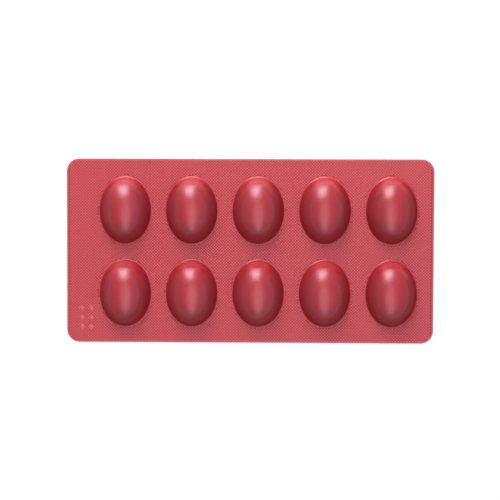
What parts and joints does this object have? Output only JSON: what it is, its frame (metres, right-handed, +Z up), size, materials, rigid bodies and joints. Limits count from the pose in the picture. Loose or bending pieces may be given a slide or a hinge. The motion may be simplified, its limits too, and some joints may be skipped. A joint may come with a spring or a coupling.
{
  "type": "pill blister pack",
  "caption": "Flat sealed push-through card with rows of oval domed pockets, a fine seal pattern and round corners.",
  "frame": {"origin": "middle of the underside of the lidding foil, at the bottom centre of the card's box", "axes": "+X along the card away from its wide margin, +Y across the card, +Z up out of the pockets' domes"},
  "size_m": [0.096, 0.048, 0.0063],
  "materials": {
    "red_film": "satin red lacquered forming film, with a fine diagonal seal pattern between smooth pockets",
    "lidding_foil": "bare push-through foil with the same fine seal pattern"
  },
  "bodies": {
    "root": {"blister_card": "red_film"}
  },
  "joints": []
}
